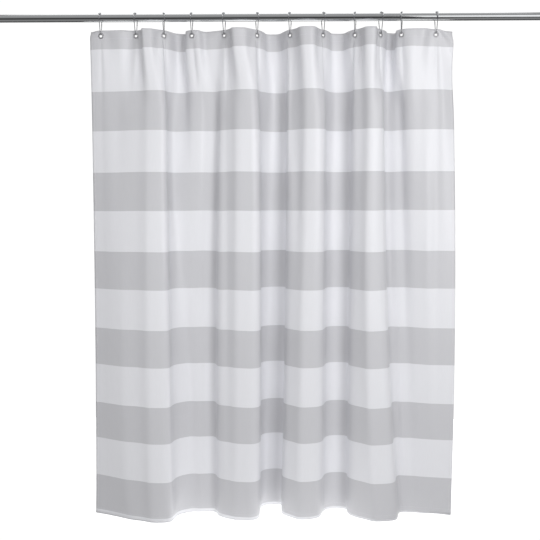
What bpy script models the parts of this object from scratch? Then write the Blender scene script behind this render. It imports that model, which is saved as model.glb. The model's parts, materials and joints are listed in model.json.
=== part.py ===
"""Shower curtain hung from a wall-to-wall rod by twelve roller rings.

Metres, +Z up. The origin is the centre of the left wall plate's back face, on the rod's axis.
+X runs along the rod to the right wall, and the curtain's room side faces -Y.
"""

import math

import bmesh
import bpy
import numpy as np
from mathutils import Matrix, Vector

# ---- Driving dimensions ---------------------------------------------------------------------

WALL_TO_WALL = 2.12
CLOTH_WIDTH = 1.83  # flat, as cut and hemmed
CLOTH_HEIGHT = 1.83
GAP = 0.0003  # left between two pieces that touch

ROD_DIAMETER = 0.027
ROD_WALL = 0.0012

PLATE_DIAMETER = 0.064
PLATE_THICKNESS = 0.0035
COLLAR_HEIGHT = 0.024  # from the wall
COLLAR_WALL = 0.0025
SOCKET_FLOOR = 0.0030  # solid behind the rod's end
PLATE_EASE = 0.0008  # the chamfer on the plate's and collar's rims
SCREWS_PER_PLATE = 3
SCREW_SHANK_DIAMETER = 0.0042
SCREW_HEAD_DIAMETER = 0.0080
SCREW_HEAD_HEIGHT = 0.0026
SCREW_LENGTH = 0.032
SCREW_SLOT_WIDTH = 0.0011
SCREW_CLEARANCE = 0.0004  # round the shank, in the plate's hole

WIRE_DIAMETER = 0.0026
BEAD_DIAMETER = 0.0065
BEAD_SPACING_DEG = 40.0
BEADS_PER_RING = 5
RING_SIDE_PLAY = 0.0018  # the loop is this much wider than it is high, at the rod
RING_DROP = 0.0594  # from the rod's axis to the wire's centre at the bottom
RING_BEND_RADIUS = 0.0068  # the bend that carries the eyelet
RING_OPEN_DEG = 20.0  # the rounded top goes this far below level on each side
LATCH_DROP = 0.019  # from the rod's axis to the latch
LATCH_BALL_DIAMETER = 0.0040
RING_YAW_SHARE = 0.5  # how far a ring turns with the cloth that it carries

EYELET_BORE = 0.0105
EYELET_DIAMETER = 0.0206
EYELET_LIP = 0.0008
EYELET_BARREL_WALL = 0.0006
EYELET_ROLL = 0.0007  # the rounding at the bore, at the rim and behind the washer
EYELET_FLAT_MARGIN = 0.0020  # the eyelet keeps the cloth flat this far beyond its rim
EYELET_HANG = 0.0014  # over the wire, at the middle of the bore
EYELET_EDGE = 0.019  # from the cloth's top edge to the eyelet's centre

CLOTH_THICKNESS = 0.0004
HEADER_HEIGHT = 0.030
HEADER_LAYERS = 3
BOTTOM_HEM_HEIGHT = 0.025
BOTTOM_HEM_LAYERS = 2
MOST_EYELET_TURN_DEG = 35.0  # from facing the room
WAVE_HANDLE = 1 / 3  # of the way to the next fold, in a plain wave
FOLD_ROUNDING = 0.3  # the most that a fuller fold adds to that
COLUMN_SPACING = 0.034  # of the cloth's mesh

# Where the rings hang, from the rod's middle, and how far the cloth bulges to the front
# between each ring and the next.
RING_STATIONS = (
    -0.608, -0.481, -0.380, -0.279, -0.162, -0.043,
    0.076, 0.196, 0.311, 0.404, 0.479, 0.604,
)  # fmt: skip
TOP_BULGES = (0.006, 0.037, -0.041, -0.014, 0.044, -0.049, 0.053, -0.047, 0.047, -0.047, 0.014)
TOP_EDGES = (-0.650, 0.670)
# The folds at the bottom edge: place from the rod's middle, and depth to the front.
BOTTOM_FOLDS = (
    (-0.673, -0.020), (-0.463, 0.063), (-0.285, -0.018), (-0.146, 0.044), (0.000, -0.089),
    (0.123, 0.032), (0.250, -0.047), (0.410, 0.057), (0.577, -0.020), (0.697, 0.008),
)  # fmt: skip

# ---- Worked out from them -------------------------------------------------------------------

MIDDLE_X = WALL_TO_WALL / 2
ROD_RADIUS = ROD_DIAMETER / 2
WIRE_RADIUS = WIRE_DIAMETER / 2
BEAD_RADIUS = BEAD_DIAMETER / 2
RING_RISE = ROD_RADIUS + GAP + BEAD_RADIUS  # rod's axis to the wire's centre over the rod
RING_REACH = RING_RISE + RING_SIDE_PLAY  # the same, at the rod's sides
EYELET_Z = -RING_DROP + WIRE_RADIUS + EYELET_HANG - EYELET_BORE / 2
CLOTH_TOP = EYELET_Z + EYELET_EDGE
HEADER_THICKNESS = HEADER_LAYERS * CLOTH_THICKNESS
BARREL_RADIUS = EYELET_BORE / 2 + EYELET_BARREL_WALL
CLOTH_HOLE_RADIUS = BARREL_RADIUS + GAP
FLAT_HALF = EYELET_DIAMETER / 2 + EYELET_FLAT_MARGIN
SCREW_CIRCLE = (ROD_RADIUS + GAP + COLLAR_WALL + PLATE_DIAMETER / 2) / 2

# How finely the round pieces are faceted.
TUBE_SIDES = 24
SCREW_SIDES = 10
EYELET_SIDES = 12
WIRE_SIDES_LEVEL = 1  # bevel resolution: six sides
BALL_SEGMENTS = 6
BALL_RINGS = 4
FOLD_STEPS = 12  # of a fold line, from each knot to the next

MATERIALS = {
    "chrome": ((0.80, 0.81, 0.83), 0.10, 1.0),
    "bead": ((0.84, 0.85, 0.87), 0.12, 1.0),
    "eyelet": ((0.72, 0.73, 0.76), 0.25, 1.0),
    "cloth": ((0.74, 0.74, 0.76), 0.85, 0.0),
    "hem": ((0.66, 0.66, 0.69), 0.85, 0.0),
}


# ---- Helpers --------------------------------------------------------------------------------


def clear_scene():
    for obj in list(bpy.data.objects):
        bpy.data.objects.remove(obj)


def collection(name):
    made = bpy.data.collections.new(name)
    bpy.context.scene.collection.children.link(made)
    return made


def material(name, finish):
    """A material of its own for one object, in one of the finishes above."""
    color, roughness, metallic = MATERIALS[finish]
    made = bpy.data.materials.new(name)
    made.use_nodes = True
    shader = made.node_tree.nodes["Principled BSDF"]
    shader.inputs["Base Color"].default_value = (*color, 1)
    shader.inputs["Roughness"].default_value = roughness
    shader.inputs["Metallic"].default_value = metallic
    made.diffuse_color = (*color, 1)
    return made


def place(name, mesh, finish, matrix=None, smooth=True):
    """A part's object, with the mesh shaded and its material set on the object."""
    obj = bpy.data.objects.new(name, mesh)
    PARTS.objects.link(obj)
    obj.matrix_world = matrix or Matrix()
    if smooth:
        mesh.shade_smooth()
        mesh.set_sharp_from_angle(angle=math.radians(40))
    if not mesh.materials:
        mesh.materials.append(None)
    obj.material_slots[0].link = "OBJECT"
    obj.material_slots[0].material = material(name, finish)
    return obj


def evaluated_mesh(obj):
    """The object's mesh with its modifiers applied and touching points welded."""
    bpy.context.view_layer.update()
    graph = bpy.context.evaluated_depsgraph_get()
    mesh = bpy.data.meshes.new_from_object(obj.evaluated_get(graph))
    edit = bmesh.new()
    edit.from_mesh(mesh)
    bmesh.ops.remove_doubles(edit, verts=edit.verts, dist=1e-6)
    edit.to_mesh(mesh)
    edit.free()
    return mesh


def turned(name, profile, sides, closed=False):
    """A mesh turned about Z from (radius, height) points that run down the outer side."""
    mesh = bpy.data.meshes.new(name)
    edges = [(i, i + 1) for i in range(len(profile) - 1)]
    if closed:
        edges.append((len(profile) - 1, 0))
    mesh.from_pydata([(r, 0, z) for r, z in profile], edges, [])
    obj = bpy.data.objects.new(name, mesh)
    HELPERS.objects.link(obj)
    screw = obj.modifiers.new("turn", "SCREW")
    screw.steps = screw.render_steps = sides
    screw.use_merge_vertices = True
    screw.merge_threshold = 1e-6
    made = evaluated_mesh(obj)
    bpy.data.objects.remove(obj)
    return made


def wire(name, points):
    """A mesh tube of the ring wire's size along points."""
    curve = bpy.data.curves.new(name, "CURVE")
    curve.dimensions = "3D"
    curve.bevel_depth = WIRE_RADIUS
    curve.bevel_resolution = WIRE_SIDES_LEVEL
    curve.use_fill_caps = True
    spline = curve.splines.new("POLY")
    spline.points.add(len(points) - 1)
    for point, at in zip(spline.points, points):
        point.co = (*at, 1)
    obj = bpy.data.objects.new(name, curve)
    HELPERS.objects.link(obj)
    made = evaluated_mesh(obj)
    bpy.data.objects.remove(obj)
    return made


def ball(center, radius):
    mesh = bpy.data.meshes.new("ball")
    edit = bmesh.new()
    bmesh.ops.create_uvsphere(
        edit, u_segments=BALL_SEGMENTS, v_segments=BALL_RINGS, radius=radius,
        matrix=Matrix.Translation(center),
    )  # fmt: skip
    edit.to_mesh(mesh)
    edit.free()
    return mesh


def cylinder(radius, length, sides, matrix):
    """A cylinder centred on the matrix's origin, along its Z."""
    mesh = bpy.data.meshes.new("cylinder")
    edit = bmesh.new()
    bmesh.ops.create_cone(
        edit, cap_ends=True, segments=sides, radius1=radius, radius2=radius, depth=length,
        matrix=matrix,
    )  # fmt: skip
    edit.to_mesh(mesh)
    edit.free()
    return mesh


def box(size, matrix):
    mesh = bpy.data.meshes.new("box")
    edit = bmesh.new()
    bmesh.ops.create_cube(edit, size=1, matrix=matrix @ Matrix.Diagonal((*size, 1)))
    edit.to_mesh(mesh)
    edit.free()
    return mesh


def combined(mesh, others, operation):
    """The mesh joined with the others, or cut by them."""
    base = bpy.data.objects.new("base", mesh)
    HELPERS.objects.link(base)
    tools = bpy.data.collections.new("tools")
    for other in others:
        tools.objects.link(bpy.data.objects.new("tool", other))
    HELPERS.children.link(tools)
    boolean = base.modifiers.new("combine", "BOOLEAN")
    boolean.operation = operation
    boolean.operand_type = "COLLECTION"
    boolean.collection = tools
    boolean.solver = "EXACT"
    made = evaluated_mesh(base)
    for obj in list(tools.objects):
        bpy.data.objects.remove(obj)
    bpy.data.collections.remove(tools)
    bpy.data.objects.remove(base)
    return made


# ---- The rod and its wall plates ------------------------------------------------------------


def make_rod():
    """The tube, from one socket's floor to the other's."""
    half = MIDDLE_X - SOCKET_FLOOR - GAP
    inner = ROD_RADIUS - ROD_WALL
    profile = [(ROD_RADIUS, half), (ROD_RADIUS, -half), (inner, -half), (inner, half)]
    along_x = Matrix.Translation((MIDDLE_X, 0, 0)) @ Matrix.Rotation(math.pi / 2, 4, "Y")
    place("rod", turned("rod", profile, TUBE_SIDES, closed=True), "chrome", along_x)


def screw_places():
    for i in range(SCREWS_PER_PLATE):
        angle = math.radians(90) + math.tau * i / SCREWS_PER_PLATE
        yield SCREW_CIRCLE * math.cos(angle), SCREW_CIRCLE * math.sin(angle)


def plate_mesh():
    """The wall plate with its socket, standing on its back face and facing +Z."""
    socket = ROD_RADIUS + GAP
    outer = socket + COLLAR_WALL
    plate = PLATE_DIAMETER / 2
    profile = [
        (0, SOCKET_FLOOR),
        (socket, SOCKET_FLOOR),
        (socket, COLLAR_HEIGHT),
        (outer - PLATE_EASE, COLLAR_HEIGHT),
        (outer, COLLAR_HEIGHT - PLATE_EASE),
        (outer, PLATE_THICKNESS),
        (plate - PLATE_EASE, PLATE_THICKNESS),
        (plate, PLATE_THICKNESS - PLATE_EASE),
        (plate, 0),
        (0, 0),
    ]
    hole = SCREW_SHANK_DIAMETER / 2 + SCREW_CLEARANCE
    holes = [
        cylinder(hole, 4 * PLATE_THICKNESS, SCREW_SIDES, Matrix.Translation((x, y, 0)))
        for x, y in screw_places()
    ]
    return combined(turned("plate", profile, TUBE_SIDES), holes, "DIFFERENCE")


def screw_mesh():
    """A pan-head screw with a cross slot; its origin is where the plate's front face lies."""
    head, shank = SCREW_HEAD_DIAMETER / 2, SCREW_SHANK_DIAMETER / 2
    top = GAP + SCREW_HEAD_HEIGHT
    profile = [
        (0, top),
        (0.6 * head, top),
        (head, GAP + 0.4 * SCREW_HEAD_HEIGHT),
        (head, GAP),
        (shank, GAP),
        (shank, -SCREW_LENGTH + 2 * shank),
        (0, -SCREW_LENGTH),
    ]
    slot = (SCREW_SLOT_WIDTH, head, SCREW_HEAD_HEIGHT)
    at_top = Matrix.Translation((0, 0, top))
    slots = [box(slot, at_top @ Matrix.Rotation(turn, 4, "Z")) for turn in (0, math.pi / 2)]
    cross = combined(slots[0], slots[1:], "UNION")
    return combined(turned("screw", profile, SCREW_SIDES), [cross], "DIFFERENCE")


def make_wall_plates():
    plate, screw = plate_mesh(), screw_mesh()
    for side, wall, turn in (("left", 0, 1), ("right", WALL_TO_WALL, -1)):
        at_wall = Matrix.Translation((wall, 0, 0)) @ Matrix.Rotation(turn * math.pi / 2, 4, "Y")
        place(f"{side}_wall_plate", plate, "chrome", at_wall)
        for number, (x, y) in enumerate(screw_places(), 1):
            at_hole = at_wall @ Matrix.Translation((x, y, PLATE_THICKNESS))
            place(f"{side}_plate_screw_{number}", screw, "chrome", at_hole)


# ---- The cloth's shape ----------------------------------------------------------------------


def fold_depth(fill):
    """How the folds' depths are scaled for a fill."""
    return 1 + min(0.0, fill) + max(0.0, fill - FOLD_ROUNDING)


def ring_turns(depth):
    """The cloth's turn about Z at each ring, for folds scaled by depth."""
    bulges = [0.0, *TOP_BULGES, 0.0]
    stations = [TOP_EDGES[0], *RING_STATIONS, TOP_EDGES[1]]
    most = math.radians(MOST_EYELET_TURN_DEG)
    turns = []
    for before, after, x0, x1 in zip(bulges, bulges[1:], stations, stations[2:]):
        turn = math.atan(2 * depth * (before - after) / (x1 - x0))
        turns.append(max(-most, min(most, turn)))
    return turns


def top_knots(depth):
    """(x, y, turn) along the header: flat at each eyelet, a bulge between two rings."""
    turns = ring_turns(depth)
    knots = []
    for i, (x, turn) in enumerate(zip(RING_STATIONS, turns)):
        half_x, half_y = FLAT_HALF * math.cos(turn), FLAT_HALF * math.sin(turn)
        knots.append((x - half_x, -half_y, turn))
        knots.append((x + half_x, half_y, turn))
        if i < len(TOP_BULGES):
            middle = (x + RING_STATIONS[i + 1]) / 2
            knots.append((middle, -depth * TOP_BULGES[i], 0.0))
    first, last = TOP_EDGES
    start_y = math.tan(turns[0]) * (first - RING_STATIONS[0])
    end_y = math.tan(turns[-1]) * (last - RING_STATIONS[-1])
    return [(first, start_y, turns[0]), *knots, (last, end_y, turns[-1])]


def bottom_knots(depth):
    return [(x, -depth * y, 0.0) for x, y in BOTTOM_FOLDS]


def fold_line(knots_of, fill):
    """Points of the curve through the knots, and the distance along it.

    A fill above 0 makes the folds rounder, up to FOLD_ROUNDING, and then deeper; below 0 it
    makes them shallower.
    """
    handle = WAVE_HANDLE + min(max(0.0, fill), FOLD_ROUNDING)
    knots = knots_of(fold_depth(fill))
    points = [np.array(knots[0][:2])]
    for (x0, y0, turn0), (x1, y1, turn1) in zip(knots, knots[1:]):
        start, end = np.array((x0, y0)), np.array((x1, y1))
        reach = handle * math.dist(start, end)
        out = start + reach * np.array((math.cos(turn0), math.sin(turn0)))
        back = end - reach * np.array((math.cos(turn1), math.sin(turn1)))
        for t in np.arange(1, FOLD_STEPS + 1) / FOLD_STEPS:
            u = 1 - t
            points.append(u**3 * start + 3 * u * u * t * out + 3 * u * t * t * back + t**3 * end)
    points = np.array(points)
    along = np.concatenate([[0], np.cumsum(np.hypot(*np.diff(points, axis=0).T))])
    return points, along


def fold_fill(knots_of):
    """The fill with which the line takes up the cloth's width."""
    low, high = -1.0, 3.0
    for _ in range(40):
        fill = (low + high) / 2
        if fold_line(knots_of, fill)[1][-1] < CLOTH_WIDTH:
            low = fill
        else:
            high = fill
    return fill


def cloth_columns():
    """Distances across the cloth: each knot of the header, and steps between them."""
    knots = TOP_LINE[1][::FOLD_STEPS]
    across = []
    for start, end in zip(knots, knots[1:]):
        parts = max(1, round((end - start) / COLUMN_SPACING))
        across.extend(start + (end - start) * i / parts for i in range(parts))
    return [*across, knots[-1]]


def cloth_point(across, drop):
    """The place of the cloth's middle surface, across from its left edge and down from its top."""
    turn = min(1.0, max(0.0, (drop - HEADER_HEIGHT) / (CLOTH_HEIGHT - HEADER_HEIGHT)))
    top, bottom = (
        Vector([np.interp(across, along * CLOTH_WIDTH / along[-1], points[:, k]) for k in (0, 1)])
        for points, along in (TOP_LINE, BOTTOM_LINE)
    )
    x, y = top.lerp(bottom, turn)
    return Vector((MIDDLE_X + x, y, CLOTH_TOP - drop))


def cloth_mesh(name, drops, thickness):
    """A folded sheet between the first and last of drops, thickened about its middle."""
    columns = cloth_columns()
    obj = bpy.data.objects.new(name, bpy.data.meshes.new(name))
    HELPERS.objects.link(obj)
    edit = bmesh.new()
    bmesh.ops.create_grid(edit, x_segments=len(columns) - 1, y_segments=len(drops) - 1, size=1)
    for vertex in edit.verts:
        column = round((vertex.co.x + 1) / 2 * (len(columns) - 1))
        row = round((1 - vertex.co.y) / 2 * (len(drops) - 1))
        vertex.co = cloth_point(columns[column], drops[row])
    edit.to_mesh(obj.data)
    edit.free()
    shell = obj.modifiers.new("thickness", "SOLIDIFY")
    shell.thickness = thickness
    shell.offset = 0
    made = evaluated_mesh(obj)
    bpy.data.objects.remove(obj)
    return made


def ring_places():
    """(number, place on the rod, cloth's turn about Z) of each ring."""
    turns = ring_turns(fold_depth(TOP_FILL))
    for number, (x, turn) in enumerate(zip(RING_STATIONS, turns), 1):
        yield number, MIDDLE_X + x, turn


def at_eyelet(x, turn):
    """An eyelet's frame: its Z is the cloth's normal, towards the front."""
    return (
        Matrix.Translation((x, 0, EYELET_Z))
        @ Matrix.Rotation(turn, 4, "Z")
        @ Matrix.Rotation(math.pi / 2, 4, "X")
    )


def make_cloth():
    header = cloth_mesh("top_hem", [0, HEADER_HEIGHT], HEADER_THICKNESS)
    through = 10 * HEADER_THICKNESS
    cutters = [
        cylinder(CLOTH_HOLE_RADIUS, through, EYELET_SIDES, at_eyelet(x, turn))
        for _, x, turn in ring_places()
    ]
    place("top_hem", combined(header, cutters, "DIFFERENCE"), "hem", smooth=False)
    hem_top = CLOTH_HEIGHT - BOTTOM_HEM_HEIGHT
    panel_drops = np.linspace(HEADER_HEIGHT + GAP, hem_top - GAP, 6)
    place("curtain_panel", cloth_mesh("curtain_panel", panel_drops, CLOTH_THICKNESS), "cloth")
    hem = cloth_mesh("bottom_hem", [hem_top, CLOTH_HEIGHT], BOTTOM_HEM_LAYERS * CLOTH_THICKNESS)
    place("bottom_hem", hem, "hem")


# ---- Rings, gates and eyelets ---------------------------------------------------------------


def over_rod(degrees):
    """A point of the ring's rounded top, in the ring's own plane (Y back, Z up)."""
    angle = math.radians(degrees)
    return Vector((0, RING_REACH * math.cos(angle), RING_RISE * math.sin(angle)))


def bend_center():
    return Vector((0, 0, -RING_DROP + RING_BEND_RADIUS))


def bend_half_angle():
    """From straight down to where the bottom bend meets the straight arm."""
    to_arm = over_rod(-RING_OPEN_DEG) - bend_center()
    lean = math.atan2(to_arm.z, to_arm.y)
    return math.pi / 2 + lean - math.acos(RING_BEND_RADIUS / to_arm.length)


def on_bend(angle):
    """A point of the bottom bend, angle from straight down towards the back."""
    return bend_center() + RING_BEND_RADIUS * Vector((0, math.sin(angle), -math.cos(angle)))


def gate_pivot():
    return on_bend(bend_half_angle())


def latch_place():
    """Where the back arm is parted, between the loop's end ball and the gate's."""
    top, foot = over_rod(-RING_OPEN_DEG), gate_pivot()
    return foot + (top - foot) * (-LATCH_DROP - foot.z) / (top.z - foot.z)


def arm_direction():
    return (over_rod(-RING_OPEN_DEG) - gate_pivot()).normalized()


def ring_loop_mesh():
    """The loop: end ball, over the rod with its beads, down the front arm, round the bend."""
    ball_radius = LATCH_BALL_DIAMETER / 2
    end_ball = latch_place() + arm_direction() * (ball_radius + GAP / 2)
    half = bend_half_angle()
    stop = half - (WIRE_RADIUS + GAP) / RING_BEND_RADIUS
    top = [over_rod(d) for d in np.linspace(-RING_OPEN_DEG, 180 + RING_OPEN_DEG, 10)]
    bend = [on_bend(a) for a in np.linspace(-half, stop, 5)]
    loop = wire("ring_loop", [end_ball, *top, *bend])
    first = 90 - BEAD_SPACING_DEG * (BEADS_PER_RING - 1) / 2
    beads = [
        ball(over_rod(first + BEAD_SPACING_DEG * i), BEAD_RADIUS)
        for i in range(BEADS_PER_RING)
    ]
    return combined(loop, [ball(end_ball, ball_radius), *beads], "UNION")


def ring_gate_mesh():
    """The gate, with its origin on the pivot: a straight arm up to its end ball."""
    ball_radius = LATCH_BALL_DIAMETER / 2
    tip = latch_place() - arm_direction() * (ball_radius + GAP / 2) - gate_pivot()
    arm = wire("ring_gate", [Vector(), tip])
    knuckle = ball(Vector(), WIRE_RADIUS)
    return combined(arm, [knuckle, ball(tip, ball_radius)], "UNION")


def eyelet_mesh():
    """The eyelet: a front flange, and a barrel rolled over behind the washer."""
    bore, barrel, rim = EYELET_BORE / 2, BARREL_RADIUS, EYELET_DIAMETER / 2
    front = HEADER_THICKNESS / 2 + GAP
    washer_back = -(front + EYELET_LIP + GAP)
    profile = [
        (bore + EYELET_ROLL, front + EYELET_LIP),
        (rim - EYELET_ROLL, front + EYELET_LIP),
        (rim, front),
        (barrel, front),
        (barrel, washer_back),
        (barrel + 2 * EYELET_ROLL, washer_back),
        (barrel, washer_back - EYELET_ROLL),
        (bore, washer_back - EYELET_ROLL),
        (bore, front + 0.5 * EYELET_LIP),
    ]
    return turned("eyelet", profile, EYELET_SIDES, closed=True)


def washer_mesh():
    """The washer behind the cloth, loose on the barrel by the gap."""
    inner, rim = BARREL_RADIUS + GAP, EYELET_DIAMETER / 2
    front = -(HEADER_THICKNESS / 2 + GAP)
    back = front - EYELET_LIP
    profile = [(rim, front), (rim, front - EYELET_LIP / 2), (rim - EYELET_LIP / 2, back),
               (inner, back), (inner, front)]  # fmt: skip
    return turned("washer", profile, EYELET_SIDES, closed=True)


def make_rings():
    loop, gate, eyelet, washer = ring_loop_mesh(), ring_gate_mesh(), eyelet_mesh(), washer_mesh()
    for number, x, turn in ring_places():
        on_rod = Matrix.Translation((x, 0, 0)) @ Matrix.Rotation(RING_YAW_SHARE * turn, 4, "Z")
        place(f"ring_{number:02d}_loop", loop, "bead", on_rod)
        at_pivot = on_rod @ Matrix.Translation(gate_pivot())
        place(f"ring_{number:02d}_gate", gate, "chrome", at_pivot)
        place(f"eyelet_{number:02d}", eyelet, "eyelet", at_eyelet(x, turn))
        place(f"washer_{number:02d}", washer, "eyelet", at_eyelet(x, turn))


clear_scene()
PARTS = collection("shower_curtain")
HELPERS = collection("helpers")
TOP_FILL = fold_fill(top_knots)
TOP_LINE = fold_line(top_knots, TOP_FILL)
BOTTOM_LINE = fold_line(bottom_knots, fold_fill(bottom_knots))
make_rod()
make_wall_plates()
make_cloth()
make_rings()
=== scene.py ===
"""Looks of a striped shower curtain on its rod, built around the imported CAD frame.

Metres, +Z up. The frame's origin is the left wall plate's back face, on the rod's axis; the
curtain's room side faces -Y. The cloth is first laid out as folds that change from header to
hem, then hung by a cloth simulation, and its hems and stitches are built on the result. The
eyelets, rings, rod, plates and screws stand where the frame has them.
"""

import json
import math

import bmesh
import bpy
import numpy as np
from mathutils import Matrix, Vector

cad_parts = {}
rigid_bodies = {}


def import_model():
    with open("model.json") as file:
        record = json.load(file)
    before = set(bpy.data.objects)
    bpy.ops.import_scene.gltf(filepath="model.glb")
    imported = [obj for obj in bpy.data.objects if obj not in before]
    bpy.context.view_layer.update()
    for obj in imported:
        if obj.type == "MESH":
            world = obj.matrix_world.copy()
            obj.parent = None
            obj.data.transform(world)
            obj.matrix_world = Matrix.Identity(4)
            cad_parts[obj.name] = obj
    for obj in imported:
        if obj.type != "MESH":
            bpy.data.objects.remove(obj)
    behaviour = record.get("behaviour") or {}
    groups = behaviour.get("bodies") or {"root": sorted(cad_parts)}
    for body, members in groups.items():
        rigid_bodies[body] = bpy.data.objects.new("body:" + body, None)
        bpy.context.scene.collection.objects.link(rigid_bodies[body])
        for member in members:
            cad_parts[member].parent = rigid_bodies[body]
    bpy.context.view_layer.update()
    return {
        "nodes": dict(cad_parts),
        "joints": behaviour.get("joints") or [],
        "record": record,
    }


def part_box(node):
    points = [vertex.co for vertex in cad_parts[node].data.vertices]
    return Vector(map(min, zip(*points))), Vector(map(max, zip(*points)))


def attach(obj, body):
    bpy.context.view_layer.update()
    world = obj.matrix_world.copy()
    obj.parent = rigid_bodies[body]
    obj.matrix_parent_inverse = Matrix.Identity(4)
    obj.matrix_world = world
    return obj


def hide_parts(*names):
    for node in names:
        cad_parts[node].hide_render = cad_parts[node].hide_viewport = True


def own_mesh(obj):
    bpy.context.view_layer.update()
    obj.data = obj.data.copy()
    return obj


for leftover in list(bpy.data.objects):
    bpy.data.objects.remove(leftover)
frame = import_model()

# ---- From the frame -------------------------------------------------------------------------

ROD_LOW, ROD_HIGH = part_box("rod")
ROD_RADIUS = (ROD_HIGH.z - ROD_LOW.z) / 2
WALL_TO_WALL = frame["record"]["mounts"][1]["pos_m"][0]
MIDDLE_X = WALL_TO_WALL / 2
HEADER_LOW, HEADER_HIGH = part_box("top_hem")
CLOTH_TOP = HEADER_HIGH.z
CLOTH_HEIGHT = CLOTH_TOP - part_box("bottom_hem")[0].z
HEADER_HEIGHT = CLOTH_TOP - HEADER_LOW.z
HEM_TOP = CLOTH_HEIGHT - (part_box("bottom_hem")[1].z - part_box("bottom_hem")[0].z)
RINGS = range(1, 13)
JOINTS = {joint["name"]: joint for joint in frame["joints"]}
SLACK = 0.0003  # between pieces that fit or turn on each other

# ---- Sizes of the cloth ---------------------------------------------------------------------

CLOTH_WIDTH = 1.83  # flat, as cut and hemmed
CLOTH_THICKNESS = 0.0004
FOLD_THICKNESS = 0.0007  # the turned-in layers behind a hem
SIDE_HEM_WIDTH = 0.012
SIDE_HEM_GAP = 0.006  # from the header, and from the bottom hem, to a side hem's fold
UNDER_HEADER = HEADER_HEIGHT + SIDE_HEM_GAP
STITCH_PITCH = 0.0042
STITCH_LENGTH = 0.0032
STITCH_RADIUS = 0.00030
STITCH_LIFT = 0.0001  # of a stitch's middle off the cloth
SEAM_INSET = 0.0025  # from a hem's inner edge to its stitches
CELL = 0.016  # of the simulated cloth
NEAR_EYELET = (-0.012, -0.008, -0.004, 0, 0.004, 0.008, 0.012)  # its grid lines about an eyelet
WAVE_HANDLE = 1 / 3  # of the way to the next fold, in a plain wave
FOLD_ROUNDING = 0.3  # the most that a fuller fold adds to that
FOLD_STEPS = 12  # points from one knot of a fold line to the next
EYELET_FLAT = 0.0123  # the eyelet keeps the cloth flat this far from its centre
EYELET_SOFT = 0.030  # and lets go of it here
EYELET_BORE = 0.0105
EYELET_WALL = 0.0006
EYELET_RIM = 0.0103
EYELET_DOME = 0.0011  # the flange's height
EYELET_ROLL = 0.0009  # radius of the barrel's rolled back edge
WASHER_THICKNESS = 0.0006
WASHER_INSET = 0.0004  # of its rim inside the eyelet's
WASHER_EASE = 0.00025
HOLE_RADIUS = 0.0072  # cut in the cloth, under the eyelet's flange

# ---- Sizes of the rings and the rod ---------------------------------------------------------

WIRE_RADIUS = 0.0013
BEAD_RADIUS = 0.00325
BEAD_FLAT = 0.82  # a bead's flat ends are this share of its radius from its middle
BEADS_PER_RING = 5
BEAD_SPACING_DEG = 40
LATCH_DROP = 0.019  # from the rod's axis to the latch
LATCH_BALL = 0.0040  # across
GATE_FOOT_BALL = 1.25 * WIRE_RADIUS  # its radius
RING_BEND_RADIUS = 0.0068
RING_OPEN_DEG = 20  # how far the rounded top runs on, below the rod's axis
RING_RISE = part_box("ring_01_loop")[1].z - BEAD_RADIUS
RING_REACH = RING_RISE + 0.0018
RING_DROP = -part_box("ring_01_loop")[0].z - WIRE_RADIUS
ROD_WALL = 0.0012
SOCKET_FLOOR = 0.003
COLLAR_WALL = 0.0025
PLATE_THICKNESS = 0.0035
SCREW_SHANK = 0.0042
ROD_EASE = 0.0004
SOCKET_EASE = 0.0006
COLLAR_EASE = 0.0010
COLLAR_FILLET = 0.0025
PLATE_EASE = 0.0014
SCREW_HEAD_SIDE = 0.35  # the straight share of a screw head's height, under its dome
RECESS_WIDTH = 0.0011
RECESS_DEPTH = 0.0012

# ---- Shape of the folds ---------------------------------------------------------------------

# How far the header bulges to the front between each ring and the next, and its side edges.
HEADER_BULGES = (0.006, 0.037, -0.041, -0.014, 0.044, -0.049, 0.053, -0.047, 0.047, -0.047, 0.014)
HEADER_EDGES = (-0.650, 0.670)
# The folds under the header, halfway down and at the hem. Each is its place from the rod's
# middle and its depth to the front.
FOLDS = (
    (0.06, (
        (-0.650, 0.003), (-0.570, 0.012), (-0.478, 0.032), (-0.400, 0.044), (-0.318, -0.046),
        (-0.252, -0.010), (-0.210, -0.018), (-0.148, 0.030), (-0.088, 0.052), (0.034, -0.055),
        (0.092, 0.030), (0.156, 0.060), (0.272, -0.053), (0.326, 0.026), (0.386, 0.055),
        (0.448, -0.045), (0.535, 0.010), (0.610, 0.018), (0.670, 0.000),
    )),
    (0.92, (
        (-0.657, -0.014), (-0.596, 0.012), (-0.505, 0.046), (-0.412, 0.066), (-0.335, -0.012),
        (-0.285, -0.030), (-0.240, -0.036), (-0.170, 0.034), (-0.092, 0.062), (0.030, -0.068),
        (0.086, 0.018), (0.154, 0.054), (0.272, -0.046), (0.328, 0.028), (0.394, 0.064),
        (0.490, -0.040), (0.560, -0.016), (0.630, 0.002), (0.702, 0.004),
    )),
    (1.83, (
        (-0.682, -0.020), (-0.612, 0.004), (-0.505, 0.046), (-0.420, 0.068), (-0.325, -0.012),
        (-0.282, -0.024), (-0.250, -0.028), (-0.184, 0.028), (-0.110, 0.046), (0.010, -0.089),
        (0.064, 0.002), (0.150, 0.036), (0.250, -0.047), (0.345, 0.026), (0.448, 0.060),
        (0.552, -0.018), (0.600, -0.012), (0.650, -0.006), (0.706, 0.008),
    )),
)  # fmt: skip
HEADER_FADE = 0.28  # the header's shape has given way to the folds this far below it

# The print: a grey and white stripe repeat down from the top edge.
STRIPE_START = 0.063  # the first grey ends
WHITE_STRIPE = 0.151
STRIPE_REPEAT = 0.2926
STRIPE_LIFT_TOP = 0.006  # how much the print rises from left to right, at the top edge
STRIPE_DROP_BOTTOM = 0.014  # and how much it falls, at the hem
PRINT_EDGE = 0.0035  # of the repeat, over which grey turns to white

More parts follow.
